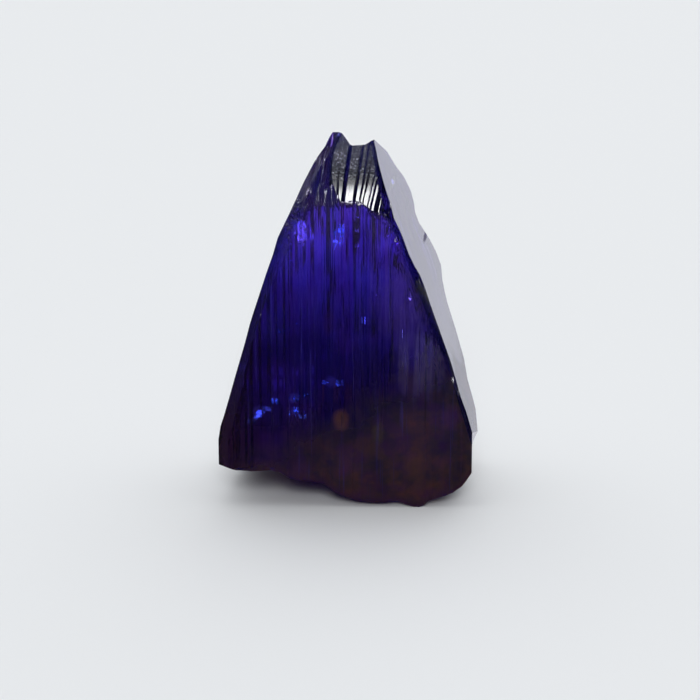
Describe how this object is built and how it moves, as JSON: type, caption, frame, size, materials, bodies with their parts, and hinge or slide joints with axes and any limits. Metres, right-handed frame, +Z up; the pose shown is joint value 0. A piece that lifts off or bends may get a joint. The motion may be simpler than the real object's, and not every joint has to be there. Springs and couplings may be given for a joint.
{
  "type": "rough tanzanite crystal",
  "caption": "Uncut violet-blue gem crystal: a striated, tapering blade with a recessed top, a smooth cleavage side and a broken base that it stands on.",
  "frame": {"origin": "on the flat spot that the crystal rests on, under the middle of its striated front", "axes": "+Z up the crystal's length from broken base to tip, +X to the smooth cleavage side, -Y to the striated front"},
  "size_m": [0.0201, 0.0118, 0.0292],
  "materials": {
    "crystal": "glossy"
  },
  "bodies": {
    "root": {"crystal": "crystal"}
  },
  "joints": []
}
